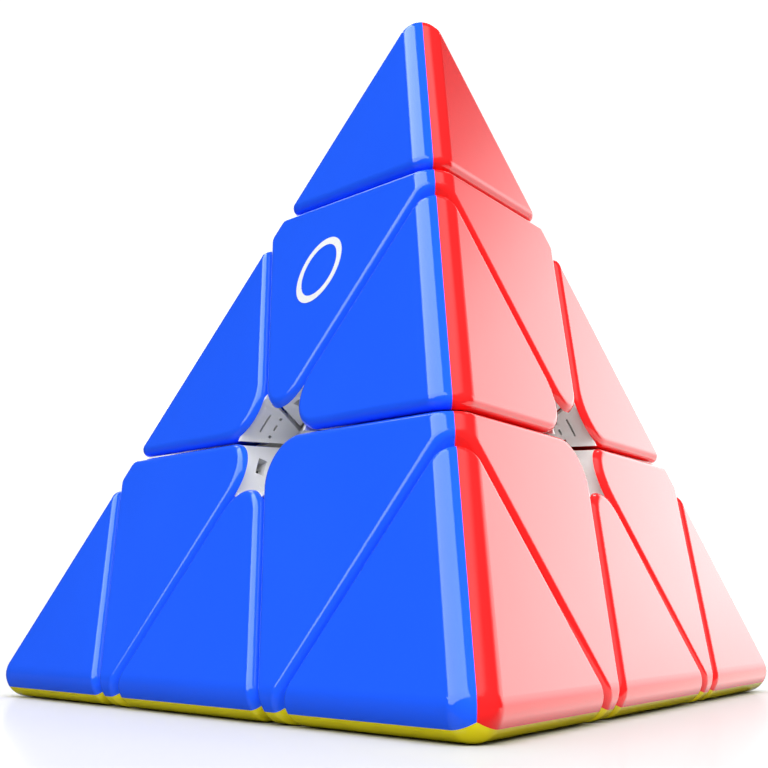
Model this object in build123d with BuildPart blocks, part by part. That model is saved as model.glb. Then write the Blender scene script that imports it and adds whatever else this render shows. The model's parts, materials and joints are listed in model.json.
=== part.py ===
from build123d import *
import math
import os

os.makedirs("parts", exist_ok=True)

# ----------------------------------------------------------------------------
# Pyramid twisty puzzle. Four layers turn about four axes that run from the
# middle of the puzzle through its corners; each corner also has a small tip
# that turns on its own. Origin: the middle of the core, where the four axes
# meet. +Z: through the top corner. The puzzle rests on the face opposite it.
#
# Every surface that two moving pieces share is a surface of revolution about
# one of the four axes: flat planes outside the sliding sphere, the sphere
# itself, and planes nearer to the middle inside it. So each layer turns freely
# whenever the others are settled.
# ----------------------------------------------------------------------------

# driving dimensions, mm
edge_sharp = 106.0          # edge of the pyramid before its edges are rounded
edge_round = 2.8            # rounding of the pyramid's six edges and four corners
gap = 0.32                  # between the faces of neighbouring pieces
rim_round = 1.0             # rounding of each coloured panel's rim
center_corner_round = 4.5   # rounding of a centre panel's corner at a face's middle
edge_corner_round = 5.0     # the same corner on an edge panel

panel_t = 1.6               # thickness of a coloured panel
lip_t = 0.75                # and of its corners that reach over the well
skirt_t = 1.3               # thickness of its side walls
skirt_depth = 4.6           # how far its side walls reach below the face
glue = 0.02                 # glue line between a panel and its white body
body_inset = 0.24           # white bodies stand this far back from a cut plane
wall_t = 1.4                # walls of the hollow white bodies

well_r = 6.8                # round well under the star-shaped hole of each face
well_rim_t = 0.4            # its wall's thin top, between the panels' side walls
sphere_r = 16.5             # sliding sphere between the feet and the centres
slide = 0.15                # clearance on each side of a sliding surface
foot_inner_r = 8.5          # inside of the edge pieces' feet
foot_plane = 3.5            # middle to the layer surface inside the sliding sphere

core_ball_r = 8.2
arm_r = 5.3
arm_end = 10.0
spigot_r = 2.6              # the centre piece turns on this spigot of the core
spigot_end = 12.03
stem_r = 6.3
stem_bottom = 10.15
stem_floor_top = 12.0
stem_bore_r = 2.65          # running fit on the spigot
stem_cup_r = 4.45           # holds spring and nut, and carries the tip's tube
stem_wall_r = 5.9
stem_neck_r = 5.25          # between the panels' side walls at the tip plane

tip_tube_r = 4.39           # running fit in the stem's cup
tip_tube_bore_r = 3.1
tip_tube_end = 24.4
bead_r = 4.75               # bead that snaps into the groove and keeps the tip on
groove_r = 4.92
bead_z = 26.5
rib_t = 1.3

screw_r = 1.2
screw_hole_r = 1.24
screw_start = 4.0
head_r = 2.6
washer_t = 0.5
washer_z = 12.05
spring_r = 2.9              # middle of the wire
spring_wire = 0.6
spring_turns = 3.5
nut_z = 17.4
nut_t = 2.4
nut_r = 3.9
magnet_r = 0.95
magnet_t = 1.5
magnet_ring = 3.95          # the three magnets of a set stand on this radius

slot_angle = 19.4           # slot in the well wall of an edge body, degrees
slot_depth = 2.6            # below the face
slot_height = 0.22
window_from, window_to = 12.0, 27.5     # windows in the well wall of a centre body
window_top, window_bottom = 3.75, 4.8

height = edge_sharp * math.sqrt(2 / 3)
inradius = height / 4       # middle to each face
layer_cut = height / 12     # middle to the plane that a layer turns on
tip_cut = 5 * height / 12   # middle to the plane that a tip turns on

# ----------------------------------------------------------------------------
# corners, faces and frames
# ----------------------------------------------------------------------------
corners = ["top", "front", "left", "right"]


def sloping(azimuth):
    side = 2 * math.sqrt(2) / 3
    a = math.radians(azimuth)
    return Vector(side * math.cos(a), side * math.sin(a), -1 / 3)


axis_of = {
    "top": Vector(0, 0, 1),
    "front": sloping(-90),
    "left": sloping(150),
    "right": sloping(30),
}
# each face lies opposite one corner and is known by its colour
colour_opposite = {"top": "yellow", "front": "green", "left": "red", "right": "blue"}


def across(corner, distance):
    """Plane across a corner's axis, its normal pointing to the corner."""
    return Plane(origin=axis_of[corner] * distance, z_dir=axis_of[corner])


def beside(corner, other):
    """Plane through the middle and the pyramid's edge between the faces opposite
    two corners. Its upper side holds the face opposite `other`."""
    return Plane(origin=(0, 0, 0), z_dir=axis_of[corner] - axis_of[other])


def image(first, second):
    """Where the four corners go when the pyramid is turned so that its top
    comes to `first` and its front to `second`."""
    rest = [c for c in corners if c not in (first, second)]
    for third, fourth in (rest, rest[::-1]):
        order = [corners.index(c) for c in (first, second, third, fourth)]
        swaps = sum(a > b for i, a in enumerate(order) for b in order[i + 1:])
        if swaps % 2 == 0:
            return dict(zip(corners, (first, second, third, fourth)))


def turned(first, second):
    """The same turn as a location."""
    z = axis_of[first]
    y = (z * z.dot(axis_of[second]) - axis_of[second]).normalized()
    return Location(Plane(origin=(0, 0, 0), x_dir=y.cross(z), z_dir=z))


def turned_face(first, face):
    """Turn that takes the top to `first` and the face opposite right to the one
    opposite `face`."""
    for second in corners:
        if second not in (first, face) and image(first, second)["right"] == face:
            return turned(first, second)


def in_face(corner, toward, depth=0.0):
    """Plane parallel to the face opposite a corner, `depth` below it, its x
    pointing from the middle of the face to another corner."""
    n = axis_of[corner] * -1
    x = axis_of[toward] - n * n.dot(axis_of[toward])
    return Plane(origin=n * (inradius - depth), x_dir=x.normalized(), z_dir=n)


def trimmed(source, cuts):
    """A copy of a solid, trimmed by planes given as (plane, side kept)."""
    with BuildPart() as result:
        add(source)
        for plane, keep in cuts:
            split(bisect_by=plane, keep=keep)
    return result.part


def skin_faces(part):
    """Faces that belong to the outside of the rounded pyramid."""
    found = []
    for f in part.faces():
        if f.geom_type == GeomType.PLANE:
            if any(abs(f.center().dot(u) + inradius) < 1e-3 for u in axis_of.values()):
                found.append(f)
        elif f.geom_type == GeomType.SPHERE:
            found.append(f)
        elif f.geom_type == GeomType.CYLINDER and abs(f.radius - edge_round) < 1e-3:
            found.append(f)
    return found


def rim_edges(part):
    """Edges between the outside skin and the surfaces cut through it."""
    skin = [f.edges() for f in skin_faces(part)]
    return [e for e in part.edges() if sum(any(e.is_same(x) for x in s) for s in skin) == 1]


def edges_where(part, planes):
    """Straight edges that lie in two of the given (corner, distance) planes."""
    found = []
    for e in part.edges().filter_by(GeomType.LINE):
        m = e.center()
        if sum(abs(m.dot(axis_of[c]) - d) < 1e-4 for c, d in planes) >= 2:
            found.append(e)
    return found


TOP, BOTTOM = Keep.TOP, Keep.BOTTOM
lower = ["front", "left", "right"]

# ----------------------------------------------------------------------------
# the rounded pyramid, and tools shared by several pieces
# ----------------------------------------------------------------------------
with BuildPart() as block:
    Box(4 * edge_sharp, 4 * edge_sharp, 4 * edge_sharp)

with BuildPart() as pyramid:
    add(block.part)
    for c in corners:
        split(bisect_by=across(c, -inradius), keep=TOP)
    fillet(pyramid.edges(), edge_round)

# wells under the middle of the faces, at several sizes: the well itself, the
# outside of its wall, the thin top of that wall, the room that the panels leave
# for it, and the well above the feet's sliding sphere
with BuildPart() as wells:
    for c in corners:
        with BuildSketch(in_face(c, corners[corners.index(c) - 1])):
            Circle(well_r)
        extrude(amount=-inradius * 0.42)

with BuildPart() as well_walls:
    for c in corners:
        with BuildSketch(in_face(c, corners[corners.index(c) - 1])):
            Circle(well_r + wall_t)
        extrude(amount=-inradius * 0.42)

with BuildPart() as well_rims:
    for c in corners:
        with BuildSketch(in_face(c, corners[corners.index(c) - 1])):
            Circle(well_r + well_rim_t)
        extrude(amount=-inradius * 0.42)

with BuildPart() as wells_below_panels:
    for c in corners:
        with BuildSketch(in_face(c, corners[corners.index(c) - 1], depth=lip_t)):
            Circle(well_r + well_rim_t + glue)
        extrude(amount=-inradius * 0.36)

with BuildPart() as wells_above_feet:
    add(wells.part)
    Sphere(sphere_r - slide, mode=Mode.SUBTRACT)


def panel(blank, planes, face, neighbours, more=()):
    """Coloured panel on one face of a blank: a plate with side walls where the
    blank meets the given cut planes. `planes` holds (corner, distance, side
    kept) of those planes, `neighbours` the corners opposite the other faces, and
    `more` bounds the room inside further."""
    inner = [(across(face, -inradius + panel_t), TOP), *more]
    for c, d, keep in planes:
        inner.append((across(c, d + skirt_t if keep == TOP else d - skirt_t), keep))
    hollow = trimmed(block.part, inner)
    with BuildPart() as made:
        add(blank)
        split(bisect_by=across(face, -inradius + skirt_depth), keep=BOTTOM)
        for n in neighbours:
            split(bisect_by=beside(face, n), keep=BOTTOM)
        add(hollow, mode=Mode.SUBTRACT)
        add(wells_below_panels.part, mode=Mode.SUBTRACT)
    return made.part


def inside(planes, faces, inset, depth, more=()):
    """Solid bounded by cut planes, moved in by `inset`, and by faces, moved in
    by `depth`."""
    cuts = [
        (across(c, d + inset if keep == TOP else d - inset), keep) for c, d, keep in planes
    ]
    cuts += [(across(f, -inradius + depth), TOP) for f in faces]
    return trimmed(block.part, cuts + list(more))


# ----------------------------------------------------------------------------
# tip: three panels on a ribbed hub, whose tube turns in the centre's stem
# ----------------------------------------------------------------------------
tip_planes = [("top", tip_cut, TOP)]
tip_roof = 3 * inradius - 2 * edge_round - 0.9      # the room inside ends below the rounded corner

with BuildPart() as tip_blank:
    add(pyramid.part)
    split(bisect_by=across("top", tip_cut + gap / 2), keep=TOP)
    fillet(rim_edges(tip_blank.part), rim_round)

tip_panel = panel(
    tip_blank.part, [("top", tip_cut + gap / 2, TOP)], "right", ["front", "left"],
    [(across("top", tip_roof), BOTTOM)],
)

tip_base = inside(
    tip_planes, lower, gap / 2 + skirt_t + glue, panel_t + glue,
    [(across("top", tip_cut + gap / 2 + skirt_t + wall_t), BOTTOM)],
)
tip_base_low = inside(
    tip_planes, lower, body_inset, skirt_depth + glue,
    [(across("top", tip_cut + gap / 2 + skirt_t + wall_t), BOTTOM)],
)
tip_room = inside(
    tip_planes, lower, gap / 2 + skirt_t, panel_t + glue,
    [(across("top", tip_roof - glue), BOTTOM)],
)

with BuildPart() as tip_ribs:
    with BuildSketch(Plane.XY.offset(tip_cut + gap / 2 + skirt_t)):
        Circle(2.3)
        with PolarLocations(0, 3, start_angle=-90):
            Rectangle(25, rib_t, align=(Align.MIN, Align.CENTER))
    extrude(amount=25)
    add(tip_room, mode=Mode.INTERSECT)

with BuildPart() as tip_tube:
    with BuildSketch(Plane.XZ):
        with BuildLine():
            Polyline(
                (tip_tube_bore_r, tip_tube_end),
                (tip_tube_r - 0.5, tip_tube_end),
                (tip_tube_r, tip_tube_end + 0.8),
                (tip_tube_r, bead_z - 0.7),
                (bead_r, bead_z - 0.2),
                (bead_r, bead_z + 0.2),
                (tip_tube_r, bead_z + 0.7),
                (tip_tube_r, tip_cut + body_inset + 1.0),
                (tip_tube_bore_r, tip_cut + body_inset + 1.0),
                close=True,
            )
        make_face()
    revolve(axis=Axis.Z)
    # four slits let the end spring inward as the bead snaps in
    with BuildSketch(Plane.XY.offset(tip_tube_end)):
        Rectangle(12, 0.9)
        Rectangle(0.9, 12)
    extrude(amount=4.6, mode=Mode.SUBTRACT)

with BuildPart() as tip_hub:
    add(tip_base)
    add(tip_base_low)
    add(tip_ribs.part)
    add(tip_tube.part)

# ----------------------------------------------------------------------------
# centre: three panels on a hollow body, whose stem turns on the core
# ----------------------------------------------------------------------------
center_planes = [("top", tip_cut, BOTTOM)] + [(c, layer_cut, BOTTOM) for c in lower]

with BuildPart() as center_blank:
    add(pyramid.part)
    split(bisect_by=across("top", tip_cut - gap / 2), keep=BOTTOM)
    split(bisect_by=across("top", 2.0), keep=TOP)
    for c in lower:
        split(bisect_by=across(c, layer_cut - gap / 2), keep=BOTTOM)
    fillet(
        edges_where(center_blank.part, [(c, layer_cut - gap / 2) for c in lower]),
        center_corner_round,
    )
    fillet(rim_edges(center_blank.part), rim_round)

center_panel = panel(
    center_blank.part,
    [("top", tip_cut - gap / 2, BOTTOM)] + [(c, layer_cut - gap / 2, BOTTOM) for c in ("front", "left")],
    "right",
    ["front", "left"],
)

center_floor = [(across("top", layer_cut + body_inset), TOP)]
center_upper = inside(center_planes, lower, gap / 2 + skirt_t + glue, panel_t + glue, center_floor)
center_lower = inside(center_planes, lower, body_inset, skirt_depth + glue, center_floor)
center_at_wells = inside(center_planes, lower, body_inset, lip_t + glue, center_floor)
center_room = inside(
    center_planes, lower, gap / 2 + skirt_t + glue + wall_t, 0.0,
    [(across("top", layer_cut + body_inset + wall_t), TOP)],
)

with BuildPart() as center_cavity:
    add(center_room)
    Sphere(sphere_r + slide + wall_t, mode=Mode.SUBTRACT)
    Cylinder(stem_wall_r, 3 * height, mode=Mode.SUBTRACT)
    add(well_walls.part, mode=Mode.SUBTRACT)

with BuildPart() as center_collars:
    add(center_at_wells)
    add(well_rims.part, mode=Mode.INTERSECT)

with BuildPart() as center_windows:
    # two openings in each well's wall, one each side of the middle of the piece
    for face, sign in ((f, s) for f in lower for s in (-1, 1)):
        with BuildSketch(in_face(face, "top", depth=(window_top + window_bottom) / 2)):
            a = sign * math.radians((window_from + window_to) / 2)
            with Locations(
                Location(((well_r + 0.7) * math.cos(a), (well_r + 0.7) * math.sin(a)), math.degrees(a))
            ):
                Rectangle(2.6, 2 * well_r * math.sin(math.radians((window_to - window_from) / 2)))
        extrude(amount=(window_bottom - window_top) / 2, both=True)

with BuildPart() as center_stem:
    with BuildSketch(Plane.XZ):
        with BuildLine():
            Polyline(
                (0, stem_bottom),
                (stem_r, stem_bottom),
                (stem_r, sphere_r + 2.0),
                (stem_wall_r, sphere_r + 2.6),
                (stem_wall_r, tip_cut - 2.3),
                (stem_neck_r, tip_cut - 1.6),
                (stem_neck_r, tip_cut - body_inset),
                (0, tip_cut - body_inset),
                close=True,
            )
        make_face()
    revolve(axis=Axis.Z)

with BuildPart() as center_bore:
    with BuildSketch(Plane.XZ):
        with BuildLine():
            Polyline(
                (0, stem_bottom - 1),
                (stem_bore_r, stem_bottom - 1),
                (stem_bore_r, stem_floor_top),
                (stem_cup_r, stem_floor_top),
                (stem_cup_r, bead_z - 0.95),
                (groove_r, bead_z - 0.4),
                (groove_r, bead_z + 0.4),
                (stem_cup_r, bead_z + 0.95),
                (stem_cup_r, tip_cut - body_inset - 0.25),
                (stem_cup_r + 0.25, tip_cut - body_inset),
                (stem_cup_r + 0.25, tip_cut + 1),
                (0, tip_cut + 1),
                close=True,
            )
        make_face()
    revolve(axis=Axis.Z)

with BuildPart() as center_magnets:
    with PolarLocations(magnet_ring, 3, start_angle=-30):
        with Locations((0, 0, stem_floor_top - 0.12)):
            Cylinder(magnet_r, magnet_t, align=(Align.CENTER, Align.CENTER, Align.MAX))

with BuildPart() as center_body:
    add(center_upper)
    add(center_lower)
    add(center_collars.part)
    Sphere(sphere_r + slide, mode=Mode.SUBTRACT)
    add(center_cavity.part, mode=Mode.SUBTRACT)
    add(wells.part, mode=Mode.SUBTRACT)
    add(center_windows.part, mode=Mode.SUBTRACT)
    add(center_stem.part)
    add(center_bore.part, mode=Mode.SUBTRACT)
    # pockets for the magnets, open to the cup
    with PolarLocations(magnet_ring, 3, start_angle=-30):
        with Locations((0, 0, stem_floor_top + 0.5)):
            Cylinder(
                magnet_r + 0.03, 0.5 + 0.12 + magnet_t + 0.03,
                align=(Align.CENTER, Align.CENTER, Align.MAX), mode=Mode.SUBTRACT,
            )

# ----------------------------------------------------------------------------
# edge: two panels on a hollow body, held in by a foot under the two centres
# ----------------------------------------------------------------------------
edge_planes = [("top", layer_cut, TOP), ("front", layer_cut, TOP)]
edge_faces = ["left", "right"]

with BuildPart() as edge_blank:
    add(pyramid.part)
    for c, d, keep in edge_planes:
        split(bisect_by=across(c, d + gap / 2), keep=keep)
    fillet(
        edges_where(edge_blank.part, [(c, d + gap / 2) for c, d, keep in edge_planes]),
        edge_corner_round,
    )
    fillet(rim_edges(edge_blank.part), rim_round)

edge_panel = panel(
    edge_blank.part, [(c, d + gap / 2, keep) for c, d, keep in edge_planes], "right", ["left"]
)

edge_upper = inside(edge_planes, edge_faces, gap / 2 + skirt_t + glue, panel_t + glue)
edge_lower = inside(edge_planes, edge_faces, body_inset, skirt_depth + glue)
edge_at_wells = inside(edge_planes, edge_faces, body_inset, lip_t + glue)
edge_room = inside(edge_planes, edge_faces, gap / 2 + skirt_t + glue + wall_t, 0.0)

with BuildPart() as edge_cavity:
    add(edge_room)
    Sphere(sphere_r - slide + wall_t, mode=Mode.SUBTRACT)
    add(well_walls.part, mode=Mode.SUBTRACT)

with BuildPart() as edge_collars:
    add(edge_at_wells)
    add(well_rims.part, mode=Mode.INTERSECT)

with BuildPart() as edge_foot:
    Sphere(sphere_r - slide)
    for c in ("top", "front"):
        split(bisect_by=across(c, foot_plane + slide), keep=TOP)
    for c in ("left", "right"):
        split(bisect_by=across(c, foot_plane - slide), keep=BOTTOM)
    Sphere(foot_inner_r, mode=Mode.SUBTRACT)

with BuildPart() as edge_slots:
    # a long slot, a short one and two small holes in each well's wall
    for face, other in (("left", "right"), ("right", "left")):
        for angle, wide, depth, tall in (
            (0, 2 * well_r * math.sin(math.radians(slot_angle / 2)), slot_depth, slot_height),
            (0, 0.7, 4.0, 0.22),
            (10, 0.32, 3.95, 0.32),
            (-10, 0.32, 3.95, 0.32),
        ):
            with BuildSketch(in_face(face, other, depth=depth)):
                a = math.pi + math.radians(angle)
                with Locations(
                    Location(((well_r + 0.7) * math.cos(a), (well_r + 0.7) * math.sin(a)), math.degrees(a))
                ):
                    Rectangle(2.6, wide)
            extrude(amount=tall / 2, both=True)

with BuildPart() as edge_body:
    add(edge_upper)
    add(edge_lower)
    add(edge_collars.part)
    Sphere(sphere_r - slide - 1.0, mode=Mode.SUBTRACT)
    add(edge_cavity.part, mode=Mode.SUBTRACT)
    add(wells_above_feet.part, mode=Mode.SUBTRACT)
    add(edge_slots.part, mode=Mode.SUBTRACT)
    add(edge_foot.part)

# ----------------------------------------------------------------------------
# core and its fasteners, one set for the top corner
# ----------------------------------------------------------------------------
with BuildPart() as core_arm:
    with BuildSketch(Plane.XZ):
        with BuildLine():
            Polyline(
                (0, 0), (arm_r, 0), (arm_r, arm_end - 0.4), (arm_r - 0.4, arm_end),
                (spigot_r, arm_end), (spigot_r, spigot_end - 0.3), (spigot_r - 0.3, spigot_end),
                (0, spigot_end), close=True,
            )
        make_face()
    revolve(axis=Axis.Z)

with BuildPart() as core_holes:
    with BuildSketch(Plane.XY.offset(screw_start - 0.6)):
        Circle(screw_hole_r)
    extrude(amount=20)
    with PolarLocations(magnet_ring, 3, start_angle=-30):
        with Locations((0, 0, arm_end + 0.5)):
            Cylinder(
                magnet_r + 0.03, 0.5 + 0.15 + magnet_t + 0.03,
                align=(Align.CENTER, Align.CENTER, Align.MAX),
            )

with BuildPart() as core_magnet_set:
    with PolarLocations(magnet_ring, 3, start_angle=-30):
        with Locations((0, 0, arm_end - 0.15)):
            Cylinder(magnet_r, magnet_t, align=(Align.CENTER, Align.CENTER, Align.MAX))

with BuildPart() as screw:
    with BuildSketch(Plane.XZ):
        with BuildLine():
            Polyline(
                (0, screw_start), (screw_r - 0.35, screw_start), (screw_r, screw_start + 0.5),
                (screw_r, nut_z + nut_t + 0.05), (head_r, nut_z + nut_t + 0.05),
                (head_r, nut_z + nut_t + 1.3), (head_r - 0.5, nut_z + nut_t + 1.8),
                (0, nut_z + nut_t + 1.8), close=True,
            )
        make_face()
    revolve(axis=Axis.Z)
    # cross recess
    with BuildSketch(Plane.XY.offset(nut_z + nut_t + 1.8)):
        Rectangle(3.0, 0.7)
        Rectangle(0.7, 3.0)
    extrude(amount=-1.1, mode=Mode.SUBTRACT)

with BuildPart() as nut:
    with BuildSketch(Plane.XY.offset(nut_z)):
        Circle(nut_r)
        with PolarLocations(nut_r, 8):
            Circle(0.55, mode=Mode.SUBTRACT)
        Circle(screw_hole_r, mode=Mode.SUBTRACT)
    extrude(amount=nut_t)
    chamfer(nut.faces().sort_by(Axis.Z)[-1].outer_wire().edges(), 0.25)

with BuildPart() as washer:
    with BuildSketch(Plane.XY.offset(washer_z)):
        Circle(4.1)
        Circle(screw_r + 0.35, mode=Mode.SUBTRACT)
    extrude(amount=washer_t)

spring_from = washer_z + washer_t + spring_wire / 2 + 0.02
spring_to = nut_z - spring_wire / 2 - 0.02
with BuildPart() as spring:
    with BuildLine(Plane.XY.offset(spring_from)) as spring_line:
        Helix(
            pitch=(spring_to - spring_from) / spring_turns,
            height=spring_to - spring_from,
            radius=spring_r,
        )
    with BuildSketch(spring_line.line ^ 0):
        Circle(spring_wire / 2)
    sweep(path=spring_line.line, is_frenet=True)


# ----------------------------------------------------------------------------
# every piece in its place
# ----------------------------------------------------------------------------
def piece(name, source, locations):
    with BuildPart() as made:
        with Locations(*locations):
            add(source, clean=False)
    made.part.label = name
    export_step(made.part, f"parts/{name}.step")
    return made.part


at_corner = {c: turned(c, next(o for o in corners if o != c)) for c in corners}

with BuildPart() as core:
    Sphere(core_ball_r)
    with Locations(*at_corner.values()):
        add(core_arm.part)
        add(core_holes.part, mode=Mode.SUBTRACT)
core.part.label = "core"
export_step(core.part, "parts/core.step")

piece("core_magnets", core_magnet_set.part, at_corner.values())
piece("screws", screw.part, at_corner.values())
piece("springs", spring.part, at_corner.values())
piece("washers", washer.part, at_corner.values())
piece("adjusting_nuts", nut.part, at_corner.values())

for c in corners:
    faces = [o for o in corners if o != c]
    piece(f"center_{c}_body", center_body.part, [at_corner[c]])
    piece(f"center_{c}_magnets", center_magnets.part, [at_corner[c]])
    piece(f"tip_{c}_hub", tip_hub.part, [at_corner[c]])
    for f in faces:
        piece(f"center_{c}_panel_{colour_opposite[f]}", center_panel, [turned_face(c, f)])
        piece(f"tip_{c}_panel_{colour_opposite[f]}", tip_panel, [turned_face(c, f)])

for i, one in enumerate(corners):
    for two in corners[i + 1:]:
        piece(f"edge_{one}_{two}_body", edge_body.part, [turned(one, two)])
        for f in (o for o in corners if o not in (one, two)):
            first, second = (one, two) if image(one, two)["right"] == f else (two, one)
            piece(
                f"edge_{one}_{two}_panel_{colour_opposite[f]}",
                edge_panel,
                [turned(first, second)],
            )
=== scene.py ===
import json
import math

import bpy
from mathutils import Matrix, Vector


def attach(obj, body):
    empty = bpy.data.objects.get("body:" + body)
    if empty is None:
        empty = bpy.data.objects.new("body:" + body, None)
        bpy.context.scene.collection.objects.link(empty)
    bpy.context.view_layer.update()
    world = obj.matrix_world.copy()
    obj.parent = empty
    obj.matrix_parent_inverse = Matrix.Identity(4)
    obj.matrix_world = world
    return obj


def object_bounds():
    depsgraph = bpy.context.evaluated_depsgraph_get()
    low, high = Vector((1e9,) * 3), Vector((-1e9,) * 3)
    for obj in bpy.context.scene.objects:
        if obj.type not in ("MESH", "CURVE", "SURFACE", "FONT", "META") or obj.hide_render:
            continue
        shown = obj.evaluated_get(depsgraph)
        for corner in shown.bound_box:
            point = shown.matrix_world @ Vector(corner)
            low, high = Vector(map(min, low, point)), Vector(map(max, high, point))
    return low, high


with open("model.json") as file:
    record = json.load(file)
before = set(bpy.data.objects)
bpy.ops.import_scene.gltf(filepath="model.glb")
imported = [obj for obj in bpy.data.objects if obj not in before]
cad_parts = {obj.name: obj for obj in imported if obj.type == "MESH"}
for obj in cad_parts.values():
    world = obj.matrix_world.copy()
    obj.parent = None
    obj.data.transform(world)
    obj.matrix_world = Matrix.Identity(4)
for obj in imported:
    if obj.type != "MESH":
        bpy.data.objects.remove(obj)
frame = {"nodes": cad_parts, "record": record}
cad_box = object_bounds()
scene = bpy.context.scene
nodes = frame["nodes"]

# ---------------------------------------------------------------------------
# camera: long lens, close to the floor and looking slightly up
# ---------------------------------------------------------------------------
RIGHT = Vector((0.9914710, -0.1303277, 0.0001654))
DOWN = Vector((0.0261359, 0.1975856, -0.9799372))
AHEAD = Vector((0.1276803, 0.9715836, 0.1993066))
EYE = Vector((-0.016299, -0.185962, -0.011034))
camera_data = bpy.data.cameras.new("camera")
camera_data.sensor_width = 36.0
camera_data.lens = 75.320
camera_data.shift_x = -0.1339
camera_data.shift_y = -0.1322
camera_data.clip_start = 0.005
camera_data.clip_end = 50.0
camera = bpy.data.objects.new("camera", camera_data)
scene.collection.objects.link(camera)
turn = Matrix((RIGHT, -DOWN, -AHEAD)).transposed().to_4x4()
camera.matrix_world = Matrix.Translation(EYE) @ turn
scene.camera = camera


# ---------------------------------------------------------------------------
# node helpers
# ---------------------------------------------------------------------------
def material(name):
    m = bpy.data.materials.new(name)
    m.use_nodes = True
    m.node_tree.nodes.clear()
    return m, m.node_tree.nodes, m.node_tree.links


def node(nodes_, kind, **values):
    n = nodes_.new(kind)
    for key, value in values.items():
        if hasattr(n, key) and key not in ("inputs",):
            setattr(n, key, value)
    return n


def noise(nodes_, links, coord, scale, detail=3.0, rough=0.5):
    n = nodes_.new("ShaderNodeTexNoise")
    n.inputs["Scale"].default_value = scale
    n.inputs["Detail"].default_value = detail
    n.inputs["Roughness"].default_value = rough
    links.new(coord, n.inputs["Vector"])
    return n


def span(nodes_, links, value, low, high, to_low, to_high):
    n = nodes_.new("ShaderNodeMapRange")
    n.inputs["From Min"].default_value = low
    n.inputs["From Max"].default_value = high
    n.inputs["To Min"].default_value = to_low
    n.inputs["To Max"].default_value = to_high
    links.new(value, n.inputs["Value"])
    return n.outputs["Result"]


def plastic(name, colour, deep, roughness=0.06, coat=0.0, orange_peel=0.00001, ior=1.5):
    """Gloss injection-moulded plastic: a faint drift of colour, a polished skin with
    a very slight waviness, and fine hairline wear in its roughness."""
    m, nn, ll = material(name)
    out = nn.new("ShaderNodeOutputMaterial")
    bsdf = nn.new("ShaderNodeBsdfPrincipled")
    ll.new(bsdf.outputs["BSDF"], out.inputs["Surface"])
    tex = nn.new("ShaderNodeTexCoord")
    coord = tex.outputs["Object"]
    drift = noise(nn, ll, coord, 38.0, 2.0, 0.45)
    ramp = nn.new("ShaderNodeMix")
    ramp.data_type = "RGBA"
    ramp.inputs["A"].default_value = (*deep, 1.0)
    ramp.inputs["B"].default_value = (*colour, 1.0)
    ll.new(span(nn, ll, drift.outputs["Fac"], 0.3, 0.7, 0.0, 1.0), ramp.inputs["Factor"])
    ll.new(ramp.outputs["Result"], bsdf.inputs["Base Color"])
    # hairlines: noise drawn out along one direction, seen only as a change in roughness
    stretch = nn.new("ShaderNodeMapping")
    stretch.inputs["Scale"].default_value = (900.0, 60.0, 500.0)
    stretch.inputs["Rotation"].default_value = (0.4, 0.2, 0.9)
    ll.new(coord, stretch.inputs["Vector"])
    hair = noise(nn, ll, stretch.outputs["Vector"], 1.0, 4.0, 0.6)
    fine = span(nn, ll, hair.outputs["Fac"], 0.35, 0.75, roughness * 0.8, roughness * 1.5)
    ll.new(fine, bsdf.inputs["Roughness"])
    bsdf.inputs["IOR"].default_value = ior
    bsdf.inputs["Coat Weight"].default_value = coat
    bsdf.inputs["Coat Roughness"].default_value = 0.03
    bsdf.inputs["Coat IOR"].default_value = 1.5
    peel = noise(nn, ll, coord, 420.0, 2.0, 0.5)
    bump = nn.new("ShaderNodeBump")
    bump.inputs["Strength"].default_value = 0.25
    bump.inputs["Distance"].default_value = orange_peel
    ll.new(peel.outputs["Fac"], bump.inputs["Height"])
    ll.new(bump.outputs["Normal"], bsdf.inputs["Normal"])
    return m


def metal(name, colour, roughness, brushed, scale):
    """Metal with a fine directional grain."""
    m, nn, ll = material(name)
    out = nn.new("ShaderNodeOutputMaterial")
    bsdf = nn.new("ShaderNodeBsdfPrincipled")
    ll.new(bsdf.outputs["BSDF"], out.inputs["Surface"])
    tex = nn.new("ShaderNodeTexCoord")
    stretch = nn.new("ShaderNodeMapping")
    stretch.inputs["Scale"].default_value = scale
    ll.new(tex.outputs["Object"], stretch.inputs["Vector"])
    grain = noise(nn, ll, stretch.outputs["Vector"], 1.0, 5.0, 0.6)
    tint = nn.new("ShaderNodeMix")
    tint.data_type = "RGBA"
    tint.inputs["A"].default_value = (*[c * 0.82 for c in colour], 1.0)
    tint.inputs["B"].default_value = (*colour, 1.0)
    ll.new(grain.outputs["Fac"], tint.inputs["Factor"])
    ll.new(tint.outputs["Result"], bsdf.inputs["Base Color"])
    bsdf.inputs["Metallic"].default_value = 1.0
    ll.new(span(nn, ll, grain.outputs["Fac"], 0.3, 0.7, roughness, roughness + brushed),
           bsdf.inputs["Roughness"])
    bump = nn.new("ShaderNodeBump")
    bump.inputs["Strength"].default_value = 0.3
    bump.inputs["Distance"].default_value = 0.00002
    ll.new(grain.outputs["Fac"], bump.inputs["Height"])
    ll.new(bump.outputs["Normal"], bsdf.inputs["Normal"])
    return m


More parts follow.
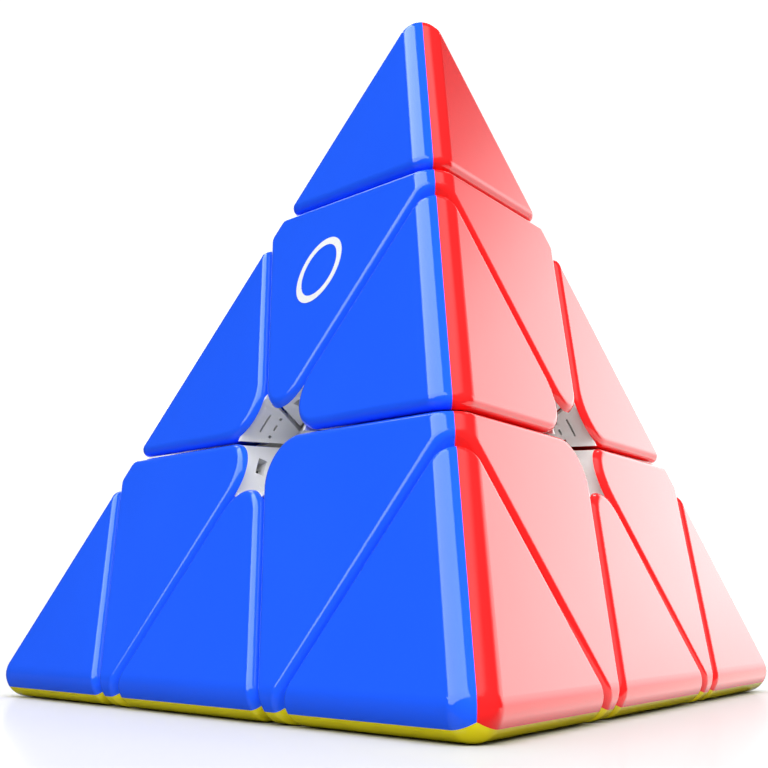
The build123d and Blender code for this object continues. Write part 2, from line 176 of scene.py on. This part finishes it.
def satin(name, colour, roughness, grain_scale):
    """Moulded plastic with a fine spark-eroded grain."""
    m, nn, ll = material(name)
    out = nn.new("ShaderNodeOutputMaterial")
    bsdf = nn.new("ShaderNodeBsdfPrincipled")
    ll.new(bsdf.outputs["BSDF"], out.inputs["Surface"])
    tex = nn.new("ShaderNodeTexCoord")
    coord = tex.outputs["Object"]
    drift = noise(nn, ll, coord, 90.0, 3.0, 0.5)
    tint = nn.new("ShaderNodeMix")
    tint.data_type = "RGBA"
    tint.inputs["A"].default_value = (*[c * 0.93 for c in colour], 1.0)
    tint.inputs["B"].default_value = (*colour, 1.0)
    ll.new(drift.outputs["Fac"], tint.inputs["Factor"])
    ll.new(tint.outputs["Result"], bsdf.inputs["Base Color"])
    grain = noise(nn, ll, coord, grain_scale, 4.0, 0.6)
    ll.new(span(nn, ll, grain.outputs["Fac"], 0.3, 0.7, roughness * 0.85, roughness * 1.2),
           bsdf.inputs["Roughness"])
    bump = nn.new("ShaderNodeBump")
    bump.inputs["Strength"].default_value = 0.35
    bump.inputs["Distance"].default_value = 0.00003
    ll.new(grain.outputs["Fac"], bump.inputs["Height"])
    ll.new(bump.outputs["Normal"], bsdf.inputs["Normal"])
    return m


materials = {
    "blue_shell": plastic("blue_gloss", (0.0148, 0.117, 1.0), (0.0128, 0.110, 0.97)),
    "red_shell": plastic("red_gloss", (0.94, 0.022, 0.022), (0.90, 0.018, 0.019)),
    "yellow_shell": plastic("yellow_gloss", (0.93, 0.80, 0.012), (0.90, 0.765, 0.010)),
    "green_shell": plastic("green_gloss", (0.01, 0.42, 0.06), (0.008, 0.39, 0.05)),
    "white_plastic": plastic("white_moulded", (0.93, 0.93, 0.915), (0.90, 0.90, 0.89), roughness=0.2, coat=0.1),
    "core_plastic": satin("core_moulded", (0.72, 0.72, 0.72), 0.35, 2500.0),
    "nut_plastic": satin("nut_moulded", (0.02, 0.02, 0.022), 0.4, 2500.0),
    "screw_steel": metal("screw_zinc", (0.58, 0.58, 0.6), 0.22, 0.12, (300.0, 300.0, 2200.0)),
    "spring_steel": metal("spring_wire_steel", (0.52, 0.52, 0.53), 0.2, 0.15, (2200.0, 2200.0, 400.0)),
    "washer_steel": metal("washer_steel", (0.62, 0.62, 0.63), 0.25, 0.12, (1600.0, 1600.0, 1600.0)),
    "magnet_nickel": metal("magnet_nickel", (0.68, 0.66, 0.62), 0.08, 0.06, (1800.0, 1800.0, 1800.0)),
}
slot_of = {s["node"]: s["material_slot"] for s in frame["record"]["subparts"]}
for name, obj in nodes.items():
    obj.data.materials.clear()
    obj.data.materials.append(materials[slot_of[name]])

# ---------------------------------------------------------------------------
# a plain printed ring on the top centre's blue panel
# ---------------------------------------------------------------------------
mark_material = satin("white_print", (0.88, 0.88, 0.88), 0.3, 3000.0)


def printed_ring():
    """Thin ink layer on the face, as one mesh."""
    n = Vector((-math.sqrt(2 / 3), -math.sqrt(2) / 3, 1 / 3))
    up = (Vector((0, 0, 1)) - n * n.z).normalized()
    right = up.cross(n)
    middle = Vector((-0.01194, -0.00627, 0.02678))
    middle += n * ((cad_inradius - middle.dot(n)) + 0.000004)
    ink = 0.00003
    count = 72
    verts, faces = [], []
    for radius, lift in ((0.0042, ink), (0.0033, ink), (0.0042, 0.0), (0.0033, 0.0)):
        for i in range(count):
            angle = 2 * math.pi * i / count
            verts.append(middle + (right * math.cos(angle) + up * math.sin(angle)) * radius + n * lift)
    a, b, c, d = 0, count, 2 * count, 3 * count
    for i in range(count):
        j = (i + 1) % count
        faces.append((a + i, a + j, b + j, b + i))
        faces.append((c + j, c + i, d + i, d + j))
        faces.append((a + j, a + i, c + i, c + j))
        faces.append((b + i, b + j, d + j, d + i))
    mesh = bpy.data.meshes.new("printed_ring")
    mesh.from_pydata([v[:] for v in verts], [], faces)
    mesh.update()
    obj = bpy.data.objects.new("printed_ring", mesh)
    scene.collection.objects.link(obj)
    mesh.materials.append(mark_material)
    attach(obj, "center_top")


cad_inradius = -cad_box[0][2]        # middle of the core to each face
printed_ring()

# ---------------------------------------------------------------------------
# floor
# ---------------------------------------------------------------------------
floor_z = cad_box[0][2] - 0.00005      # a hair below, so no face lies in the floor


def floor_material():
    """White table top with a faint sheen that fades out into the backdrop well away
    from the puzzle, and throws little light back up. The shells mirror it as a painted
    near-black sheet (painted shade) with a painted glowing strip on the right (painted reflection)."""
    m, nn, ll = material("floor")
    out = nn.new("ShaderNodeOutputMaterial")
    path = nn.new("ShaderNodeLightPath")
    white = nn.new("ShaderNodeBsdfDiffuse")
    white.inputs["Color"].default_value = (0.60, 0.60, 0.60, 1.0)
    bounce = nn.new("ShaderNodeBsdfDiffuse")
    bounce.inputs["Color"].default_value = (0.42, 0.42, 0.41, 1.0)
    lit = nn.new("ShaderNodeMixShader")
    ll.new(path.outputs["Is Diffuse Ray"], lit.inputs["Fac"])
    ll.new(white.outputs["BSDF"], lit.inputs[1])
    ll.new(bounce.outputs["BSDF"], lit.inputs[2])
    # painted shade: glossy rays see the table as a near-black sheet
    painted_dark_reflection = nn.new("ShaderNodeBsdfDiffuse")
    painted_dark_reflection.inputs["Color"].default_value = (0.05, 0.05, 0.05, 1.0)
    place = nn.new("ShaderNodeTexCoord")
    outward = nn.new("ShaderNodeVectorMath")
    outward.operation = "DOT_PRODUCT"
    outward.inputs[1].default_value = (math.sqrt(3) / 2, -0.5, 0.0)
    ll.new(place.outputs["Object"], outward.inputs[0])
    # painted reflection: an emission strip on the right of the table, seen only by glossy rays, stands in for the
    # table lit by the wall
    glow = nn.new("ShaderNodeEmission")
    glow.inputs["Color"].default_value = (1.0, 0.985, 0.95, 1.0)
    along = nn.new("ShaderNodeSeparateXYZ")
    ll.new(place.outputs["Object"], along.inputs["Vector"])
    strength = nn.new("ShaderNodeMath")
    strength.operation = "MULTIPLY"
    ll.new(span(nn, ll, outward.outputs["Value"], 0.0285, 0.0315, 0.0, 1.7), strength.inputs[0])
    ll.new(span(nn, ll, along.outputs["Y"], -0.058, -0.051, 0.0, 1.0), strength.inputs[1])
    ll.new(strength.outputs["Value"], glow.inputs["Strength"])
    painted_reflection_glow = nn.new("ShaderNodeAddShader")
    ll.new(painted_dark_reflection.outputs["BSDF"], painted_reflection_glow.inputs[0])
    ll.new(glow.outputs["Emission"], painted_reflection_glow.inputs[1])
    table = nn.new("ShaderNodeMixShader")
    ll.new(path.outputs["Is Glossy Ray"], table.inputs["Fac"])
    ll.new(lit.outputs["Shader"], table.inputs[1])
    ll.new(painted_reflection_glow.outputs["Shader"], table.inputs[2])
    gloss = nn.new("ShaderNodeBsdfGlossy")
    gloss.inputs["Roughness"].default_value = 0.12
    sheen = nn.new("ShaderNodeMixShader")
    sheen.inputs["Fac"].default_value = 0.10
    ll.new(table.outputs["Shader"], sheen.inputs[1])
    ll.new(gloss.outputs["BSDF"], sheen.inputs[2])
    away = nn.new("ShaderNodeTexCoord")
    length = nn.new("ShaderNodeVectorMath")
    length.operation = "LENGTH"
    ll.new(away.outputs["Object"], length.inputs[0])
    fade = span(nn, ll, length.outputs["Value"], 0.14, 0.45, 0.0, 1.0)
    clear = nn.new("ShaderNodeBsdfTransparent")
    mix = nn.new("ShaderNodeMixShader")
    ll.new(fade, mix.inputs["Fac"])
    ll.new(sheen.outputs["Shader"], mix.inputs[1])
    ll.new(clear.outputs["BSDF"], mix.inputs[2])
    ll.new(mix.outputs["Shader"], out.inputs["Surface"])
    return m


floor_mesh = bpy.data.meshes.new("floor")
s = 0.6
floor_mesh.from_pydata(
    [(-s, -s, floor_z), (s, -s, floor_z), (s, s, floor_z), (-s, s, floor_z)], [], [(0, 1, 2, 3)]
)
floor = bpy.data.objects.new("floor", floor_mesh)
scene.collection.objects.link(floor)
floor_mesh.materials.append(floor_material())


# ---------------------------------------------------------------------------
# room: plain white behind the puzzle, soft light from all round, and, for the
# polished shells, a dim room with a bright low wall on the right and soft boxes
# overhead
# ---------------------------------------------------------------------------
world = bpy.data.worlds.new("room")
scene.world = world
world.use_nodes = True
wn, wl = world.node_tree.nodes, world.node_tree.links
wn.clear()
w_out = wn.new("ShaderNodeOutputWorld")
w_path = wn.new("ShaderNodeLightPath")
w_coord = wn.new("ShaderNodeTexCoord")
w_axes = wn.new("ShaderNodeSeparateXYZ")
wl.new(w_coord.outputs["Generated"], w_axes.inputs["Vector"])
wx, wy, wz = (w_axes.outputs[k] for k in "XYZ")


def math_node(operation, *values):
    n = wn.new("ShaderNodeMath")
    n.operation = operation
    for socket, value in zip(n.inputs, values):
        if isinstance(value, (int, float)):
            socket.default_value = value
        else:
            wl.new(value, socket)
    return n.outputs["Value"]


def soft_step(value, none, full):
    """0 on one side of `none`, 1 beyond `full`."""
    n = wn.new("ShaderNodeMapRange")
    n.interpolation_type = "SMOOTHSTEP"
    low, high = min(none, full), max(none, full)
    n.inputs["From Min"].default_value = low
    n.inputs["From Max"].default_value = high
    n.inputs["To Min"].default_value = 0.0 if none < full else 1.0
    n.inputs["To Max"].default_value = 1.0 if none < full else 0.0
    wl.new(value, n.inputs["Value"])
    return n.outputs["Result"]


def product(*values):
    result = values[0]
    for value in values[1:]:
        result = math_node("MULTIPLY", result, value)
    return result


def backdrop(colour, strength):
    n = wn.new("ShaderNodeBackground")
    n.inputs["Color"].default_value = (*colour, 1.0)
    if isinstance(strength, (int, float)):
        n.inputs["Strength"].default_value = strength
    else:
        wl.new(strength, n.inputs["Strength"])
    return n.outputs["Background"]


def together(first, second):
    n = wn.new("ShaderNodeAddShader")
    wl.new(first, n.inputs[0])
    wl.new(second, n.inputs[1])
    return n.outputs["Shader"]


def toward(azimuth, none, full):
    """1 near an azimuth, 0 far from it, with the two limits as angles from it."""
    a = math.radians(azimuth)
    along = math_node("ADD", product(wx, math.cos(a)), product(wy, math.sin(a)))
    flat = math_node("SQRT", math_node("ADD", product(wx, wx), math_node("ADD", product(wy, wy), 1e-6)))
    return soft_step(
        math_node("DIVIDE", along, flat), math.cos(math.radians(none)), math.cos(math.radians(full))
    )


# a bright wall, low down, that fades out upward
wall = wn.new("ShaderNodeValToRGB")
wl.new(wz, wall.inputs["Fac"])
wall_stops = [
    (0.00, 0.60), (0.12, 0.82), (0.17, 0.96), (0.21, 0.975), (0.25, 0.92), (0.29, 0.85), (0.33, 0.77),
    (0.36, 0.70), (0.39, 0.57), (0.42, 0.39), (0.44, 0.29), (0.46, 0.17), (0.485, 0.08), (0.53, 0.0),
]
stops = wall.color_ramp.elements
while len(stops) < len(wall_stops):
    stops.new(1.0)
for stop, (place, value) in zip(stops, wall_stops):
    stop.position = place
    stop.color = (value, value, value, 1.0)
wall_light = product(wall.outputs["Color"], 2.85, toward(66, 52, 36))
# soft boxes overhead, as flat boxes a unit above the puzzle
height = math_node("MAXIMUM", wz, 0.05)
u, v = math_node("DIVIDE", wx, height), math_node("DIVIDE", wy, height)
box_left = product(
    soft_step(u, -0.29, -0.35), soft_step(u, -8.0, -5.0), soft_step(v, 0.80, 0.68), soft_step(v, -1.3, -1.0),
    soft_step(wz, 0.12, 0.2), 4.0,
)
box_front = product(
    soft_step(u, 0.02, 0.08), soft_step(u, 0.9, 0.4), soft_step(v, 0.2, 0.05), soft_step(v, -1.3, -0.8),
    soft_step(wz, 0.3, 0.5), 1.3,
)
box_back = product(
    soft_step(u, -0.62, -0.5), soft_step(u, 0.62, 0.5), soft_step(v, 0.86, 0.98), soft_step(v, 2.2, 1.8),
    3.0,
)
polished = together(
    together(backdrop((0.75, 0.85, 1.0), 0.05), backdrop((1.0, 0.985, 0.985), wall_light)),
    together(backdrop((0.80, 1.0, 1.15), box_left), backdrop((1.0, 1.0, 1.0), math_node("ADD", box_front, box_back))),
)
w_gloss = wn.new("ShaderNodeMixShader")
wl.new(w_path.outputs["Is Glossy Ray"], w_gloss.inputs["Fac"])
wl.new(backdrop((0.98, 0.99, 1.0), 0.12), w_gloss.inputs[1])
wl.new(polished, w_gloss.inputs[2])
w_camera = wn.new("ShaderNodeMixShader")
wl.new(w_path.outputs["Is Camera Ray"], w_camera.inputs["Fac"])
wl.new(w_gloss.outputs["Shader"], w_camera.inputs[1])
wl.new(backdrop((1.0, 1.0, 1.0), 1.1), w_camera.inputs[2])
wl.new(w_camera.outputs["Shader"], w_out.inputs["Surface"])


def softbox(name, direction, distance, size, strength, colour=(1, 1, 1)):
    """Soft light of the given radiance that shines on the middle of the puzzle
    and isn't mirrored in the shells."""
    data = bpy.data.lights.new(name, "AREA")
    data.shape = "RECTANGLE"
    data.size, data.size_y = size
    data.energy = strength * size[0] * size[1] * math.pi
    data.color = colour
    lamp = bpy.data.objects.new(name, data)
    scene.collection.objects.link(lamp)
    away = Vector(direction).normalized()
    lamp.location = away * distance
    lamp.rotation_euler = (away * -1).to_track_quat("-Z", "Y").to_euler()
    lamp.visible_glossy = False
    lamp.visible_camera = False
    return lamp


# a high key light in front, which also reaches into the wells, softer ones left
# and right, one behind and one overhead
softbox("key_front", (0.03, -0.70, 0.80), 1.2, (1.3, 1.0), 4.8)
softbox("key_left", (-0.85, -0.50, 0.70), 1.2, (1.0, 1.0), 1.15)
softbox("key_right", (0.85, -0.50, 0.70), 1.2, (1.0, 1.0), 1.15)
softbox("key_back", (0.0, 0.90, 0.95), 1.2, (1.3, 1.0), 2.7)
softbox("overhead", (0.0, 0.0, 1.0), 1.2, (1.4, 1.4), 0.5)

scene.view_settings.view_transform = "Standard"
scene.view_settings.look = "None"
